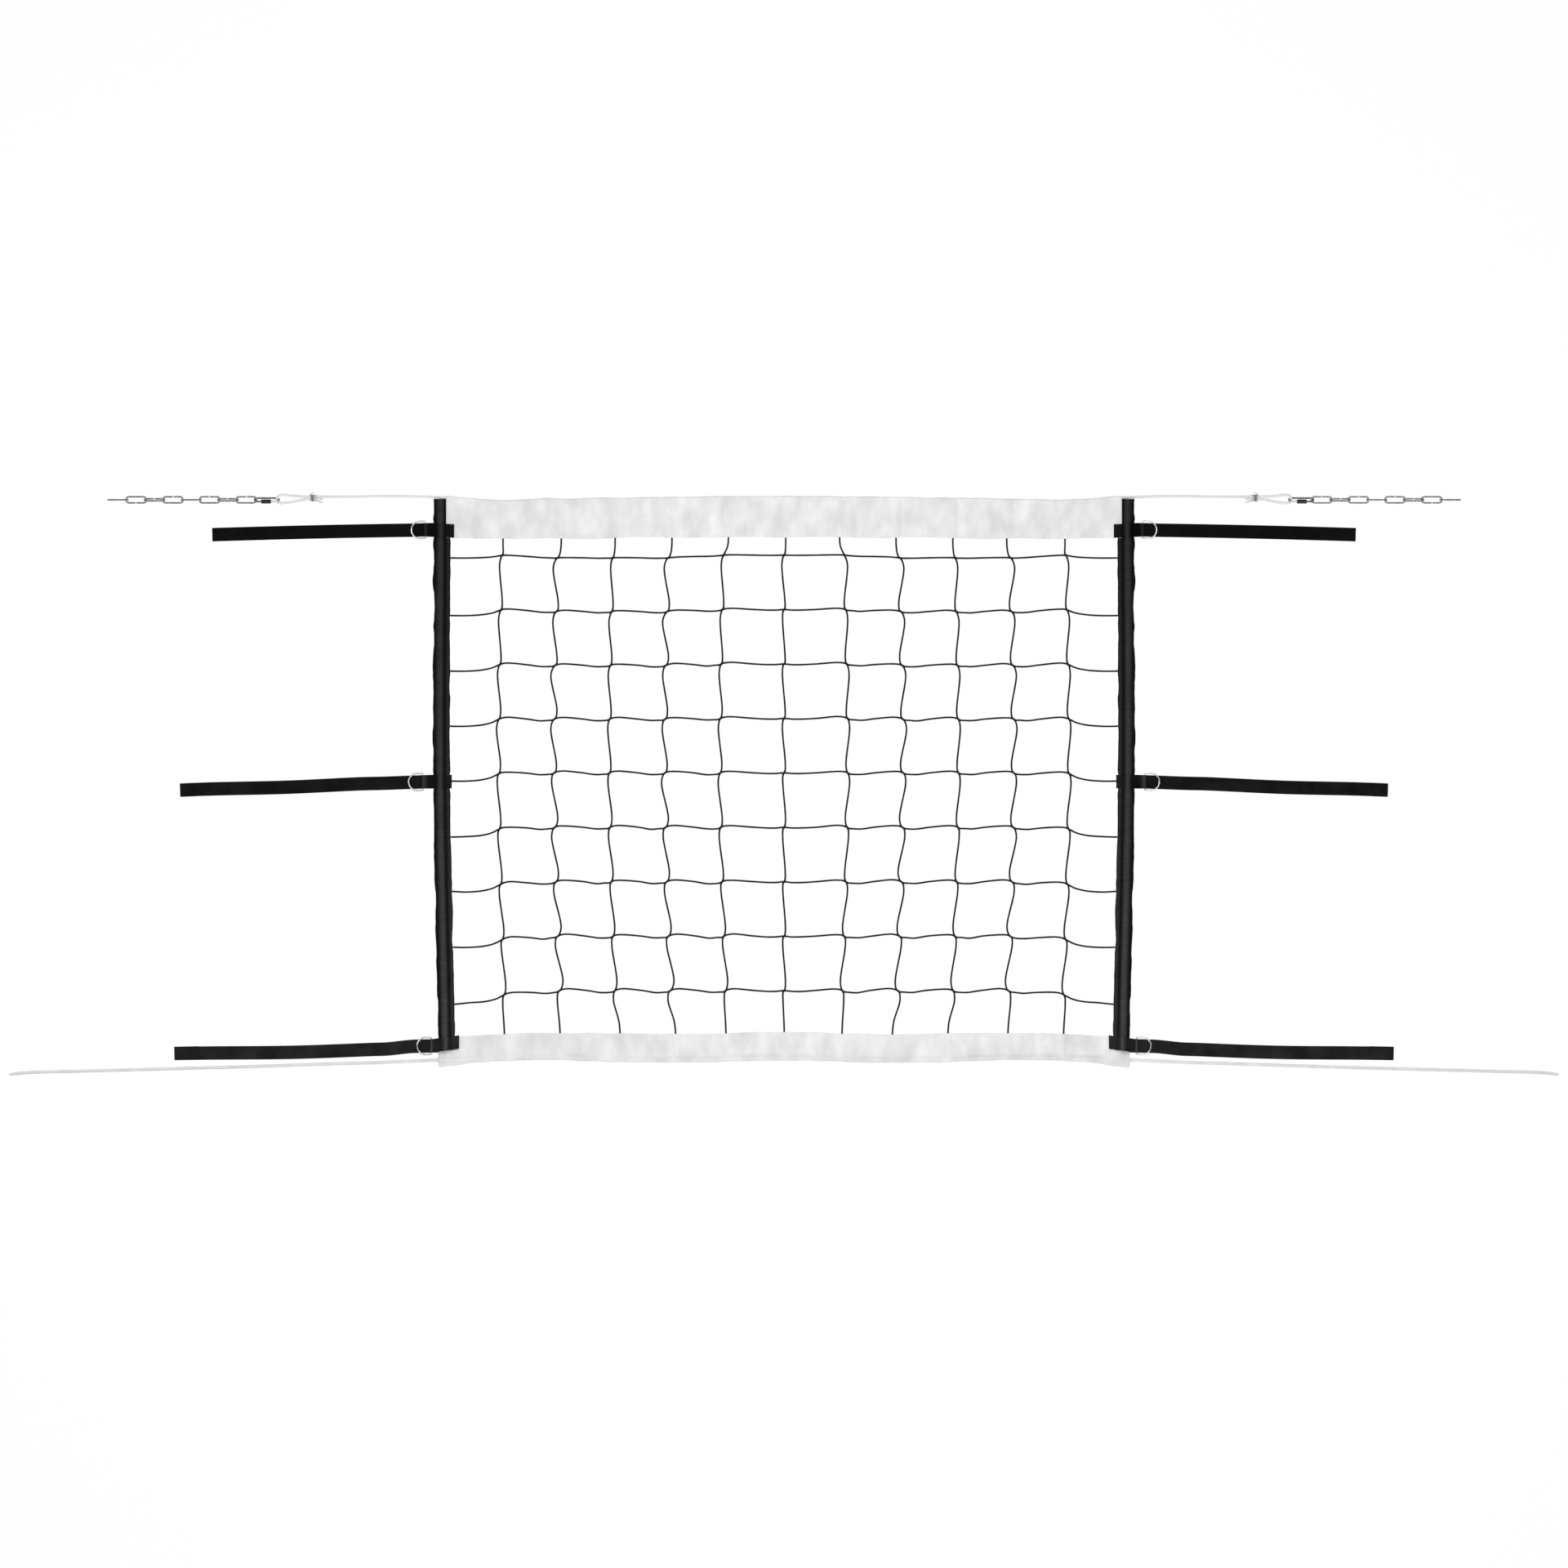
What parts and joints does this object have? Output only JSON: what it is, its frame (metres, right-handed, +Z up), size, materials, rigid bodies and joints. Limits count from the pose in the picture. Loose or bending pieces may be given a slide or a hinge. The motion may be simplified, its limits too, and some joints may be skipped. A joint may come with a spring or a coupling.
{
  "type": "volleyball net",
  "caption": "Square-mesh sports net laid flat, with taped hems on ropes, dowel sleeves, side straps with D-rings, and head chains on quick links that hook to poles.",
  "frame": {"origin": "on the ground under the middle of the net", "axes": "+X along the net towards its right side, +Y from the bottom hem to the head rope, +Z up from the ground the net lies on"},
  "size_m": [2.8462, 1.0725, 0.0174],
  "materials": {
    "cord": "matte knotted black twine",
    "tape": "coated white cloth, soft creases",
    "sleeve": "black woven cloth",
    "webbing": "black woven webbing",
    "rope": "white diamond braid",
    "twine": "grey twisted twine",
    "wood": "plain round dowel",
    "ring": "nickel plated wire",
    "steel": "steel wire with a dark nut",
    "zinc": "zinc plated wire"
  },
  "bodies": {
    "net": {"netting": "cord", "top_tape": "tape", "bottom_tape": "tape", "top_rope": "rope", "bottom_rope": "rope", "left_side_sleeve": "sleeve", "left_dowel": "wood", "left_top_rope_tail": "rope", "left_top_rope_seizing": "twine", "left_bottom_rope_tail": "rope", "left_upper_tab": "webbing", "left_middle_tab": "webbing", "left_lower_tab": "webbing", "right_side_sleeve": "sleeve", "right_dowel": "wood", "right_top_rope_tail": "rope", "right_top_rope_seizing": "twine", "right_bottom_rope_tail": "rope", "right_upper_tab": "webbing", "right_middle_tab": "webbing", "right_lower_tab": "webbing"},
    "left_upper_ring": {"left_upper_ring": "ring"},
    "left_upper_strap": {"left_upper_strap": "webbing"},
    "left_middle_ring": {"left_middle_ring": "ring"},
    "left_middle_strap": {"left_middle_strap": "webbing"},
    "left_lower_ring": {"left_lower_ring": "ring"},
    "left_lower_strap": {"left_lower_strap": "webbing"},
    "left_quick_link": {"left_quick_link": "steel"},
    "left_quick_link_nut": {"left_quick_link_nut": "steel"},
    "left_chain_link_1": {"left_chain_link_1": "zinc"},
    "left_chain_link_2": {"left_chain_link_2": "zinc"},
    "left_chain_link_3": {"left_chain_link_3": "zinc"},
    "left_chain_link_4": {"left_chain_link_4": "zinc"},
    "left_chain_link_5": {"left_chain_link_5": "zinc"},
    "left_chain_link_6": {"left_chain_link_6": "zinc"},
    "left_chain_link_7": {"left_chain_link_7": "zinc"},
    "left_chain_link_8": {"left_chain_link_8": "zinc"},
    "right_upper_ring": {"right_upper_ring": "ring"},
    "right_upper_strap": {"right_upper_strap": "webbing"},
    "right_middle_ring": {"right_middle_ring": "ring"},
    "right_middle_strap": {"right_middle_strap": "webbing"},
    "right_lower_ring": {"right_lower_ring": "ring"},
    "right_lower_strap": {"right_lower_strap": "webbing"},
    "right_quick_link": {"right_quick_link": "steel"},
    "right_quick_link_nut": {"right_quick_link_nut": "steel"},
    "right_chain_link_1": {"right_chain_link_1": "zinc"},
    "right_chain_link_2": {"right_chain_link_2": "zinc"},
    "right_chain_link_3": {"right_chain_link_3": "zinc"},
    "right_chain_link_4": {"right_chain_link_4": "zinc"},
    "right_chain_link_5": {"right_chain_link_5": "zinc"},
    "right_chain_link_6": {"right_chain_link_6": "zinc"},
    "right_chain_link_7": {"right_chain_link_7": "zinc"},
    "right_chain_link_8": {"right_chain_link_8": "zinc"}
  },
  "joints": [
    {"name": "left_upper_ring_lift", "type": "hinge", "parent": "net", "child": "left_upper_ring", "pos_m": [-0.65766, 0.45762, 0.0042], "axis": [-0.0087, 1, 0], "range_deg": [0, 135]},
    {"name": "left_upper_strap_lift", "type": "hinge", "parent": "net", "child": "left_upper_strap", "pos_m": [-0.6884, 0.45692, 0.0012], "axis": [-0.0227, 0.9997, 0], "range_deg": [0, 120]},
    {"name": "left_middle_ring_lift", "type": "hinge", "parent": "net", "child": "left_middle_ring", "pos_m": [-0.66272, -0.00528, 0.0042], "axis": [-0.0087, 1, 0], "range_deg": [0, 135]},
    {"name": "left_middle_strap_lift", "type": "hinge", "parent": "net", "child": "left_middle_strap", "pos_m": [-0.69346, -0.00636, 0.0012], "axis": [-0.0349, 0.9994, 0], "range_deg": [0, 120]},
    {"name": "left_lower_ring_lift", "type": "hinge", "parent": "net", "child": "left_lower_ring", "pos_m": [-0.64719, -0.49023, 0.0042], "axis": [-0.0087, 1, 0], "range_deg": [0, 135]},
    {"name": "left_lower_strap_lift", "type": "hinge", "parent": "net", "child": "left_lower_strap", "pos_m": [-0.67793, -0.49093, 0.0012], "axis": [-0.0227, 0.9997, 0], "range_deg": [0, 120]},
    {"name": "left_quick_link_lift", "type": "hinge", "parent": "net", "child": "left_quick_link", "pos_m": [-0.93174, 0.51275, 0.00743], "axis": [0, 0.8854, 0.4648], "range_deg": [0, 60]},
    {"name": "left_quick_link_nut_slide", "type": "slide", "parent": "left_quick_link", "child": "left_quick_link_nut", "axis": [1, 0, 0], "range_m": [0, 0.0072]},
    {"name": "left_chain_link_1_swing", "type": "hinge", "parent": "left_quick_link", "child": "left_chain_link_1", "pos_m": [-0.97244, 0.51275, 0.00743], "axis": [0, 0.4848, -0.8746], "range_deg": [0, 45]},
    {"name": "left_chain_link_2_lift", "type": "hinge", "parent": "left_chain_link_1", "child": "left_chain_link_2", "pos_m": [-1.00614, 0.51275, 0.00743], "axis": [0, 1, 0], "range_deg": [0, 45]},
    {"name": "left_chain_link_3_swing", "type": "hinge", "parent": "left_chain_link_2", "child": "left_chain_link_3", "pos_m": [-1.03984, 0.51275, 0.00743], "axis": [0, 0, -1], "range_deg": [-20, 45]},
    {"name": "left_chain_link_4_lift", "type": "hinge", "parent": "left_chain_link_3", "child": "left_chain_link_4", "pos_m": [-1.07354, 0.51275, 0.00743], "axis": [0, 1, 0], "range_deg": [0, 45]},
    {"name": "left_chain_link_5_swing", "type": "hinge", "parent": "left_chain_link_4", "child": "left_chain_link_5", "pos_m": [-1.10724, 0.51275, 0.00743], "axis": [0, 0, -1], "range_deg": [-20, 45]},
    {"name": "left_chain_link_6_lift", "type": "hinge", "parent": "left_chain_link_5", "child": "left_chain_link_6", "pos_m": [-1.14094, 0.51275, 0.00743], "axis": [0, 1, 0], "range_deg": [0, 45]},
    {"name": "left_chain_link_7_swing", "type": "hinge", "parent": "left_chain_link_6", "child": "left_chain_link_7", "pos_m": [-1.17464, 0.51275, 0.00743], "axis": [0, 0, -1], "range_deg": [-20, 45]},
    {"name": "left_chain_link_8_lift", "type": "hinge", "parent": "left_chain_link_7", "child": "left_chain_link_8", "pos_m": [-1.20834, 0.51275, 0.00743], "axis": [0, 1, 0], "range_deg": [0, 45]},
    {"name": "right_upper_ring_lift", "type": "hinge", "parent": "net", "child": "right_upper_ring", "pos_m": [0.65766, 0.45762, 0.0042], "axis": [-0.0087, -1, 0], "range_deg": [0, 135]},
    {"name": "right_upper_strap_lift", "type": "hinge", "parent": "net", "child": "right_upper_strap", "pos_m": [0.6884, 0.45692, 0.0012], "axis": [-0.0227, -0.9997, 0], "range_deg": [0, 120]},
    {"name": "right_middle_ring_lift", "type": "hinge", "parent": "net", "child": "right_middle_ring", "pos_m": [0.66272, -0.00528, 0.0042], "axis": [-0.0087, -1, 0], "range_deg": [0, 135]},
    {"name": "right_middle_strap_lift", "type": "hinge", "parent": "net", "child": "right_middle_strap", "pos_m": [0.69346, -0.00636, 0.0012], "axis": [-0.0349, -0.9994, 0], "range_deg": [0, 120]},
    {"name": "right_lower_ring_lift", "type": "hinge", "parent": "net", "child": "right_lower_ring", "pos_m": [0.64719, -0.49023, 0.0042], "axis": [-0.0087, -1, 0], "range_deg": [0, 135]},
    {"name": "right_lower_strap_lift", "type": "hinge", "parent": "net", "child": "right_lower_strap", "pos_m": [0.67793, -0.49093, 0.0012], "axis": [-0.0227, -0.9997, 0], "range_deg": [0, 120]},
    {"name": "right_quick_link_lift", "type": "hinge", "parent": "net", "child": "right_quick_link", "pos_m": [0.93174, 0.51275, 0.00743], "axis": [0, -0.8854, -0.4648], "range_deg": [0, 60]},
    {"name": "right_quick_link_nut_slide", "type": "slide", "parent": "right_quick_link", "child": "right_quick_link_nut", "axis": [-1, 0, 0], "range_m": [0, 0.0072]},
    {"name": "right_chain_link_1_swing", "type": "hinge", "parent": "right_quick_link", "child": "right_chain_link_1", "pos_m": [0.97244, 0.51275, 0.00743], "axis": [0, -0.4848, 0.8746], "range_deg": [0, 45]},
    {"name": "right_chain_link_2_lift", "type": "hinge", "parent": "right_chain_link_1", "child": "right_chain_link_2", "pos_m": [1.00614, 0.51275, 0.00743], "axis": [0, -1, 0], "range_deg": [0, 45]},
    {"name": "right_chain_link_3_swing", "type": "hinge", "parent": "right_chain_link_2", "child": "right_chain_link_3", "pos_m": [1.03984, 0.51275, 0.00743], "axis": [0, 0, 1], "range_deg": [-20, 45]},
    {"name": "right_chain_link_4_lift", "type": "hinge", "parent": "right_chain_link_3", "child": "right_chain_link_4", "pos_m": [1.07354, 0.51275, 0.00743], "axis": [0, -1, 0], "range_deg": [0, 45]},
    {"name": "right_chain_link_5_swing", "type": "hinge", "parent": "right_chain_link_4", "child": "right_chain_link_5", "pos_m": [1.10724, 0.51275, 0.00743], "axis": [0, 0, 1], "range_deg": [-20, 45]},
    {"name": "right_chain_link_6_lift", "type": "hinge", "parent": "right_chain_link_5", "child": "right_chain_link_6", "pos_m": [1.14094, 0.51275, 0.00743], "axis": [0, -1, 0], "range_deg": [0, 45]},
    {"name": "right_chain_link_7_swing", "type": "hinge", "parent": "right_chain_link_6", "child": "right_chain_link_7", "pos_m": [1.17464, 0.51275, 0.00743], "axis": [0, 0, 1], "range_deg": [-20, 45]},
    {"name": "right_chain_link_8_lift", "type": "hinge", "parent": "right_chain_link_7", "child": "right_chain_link_8", "pos_m": [1.20834, 0.51275, 0.00743], "axis": [0, -1, 0], "range_deg": [0, 45]}
  ]
}
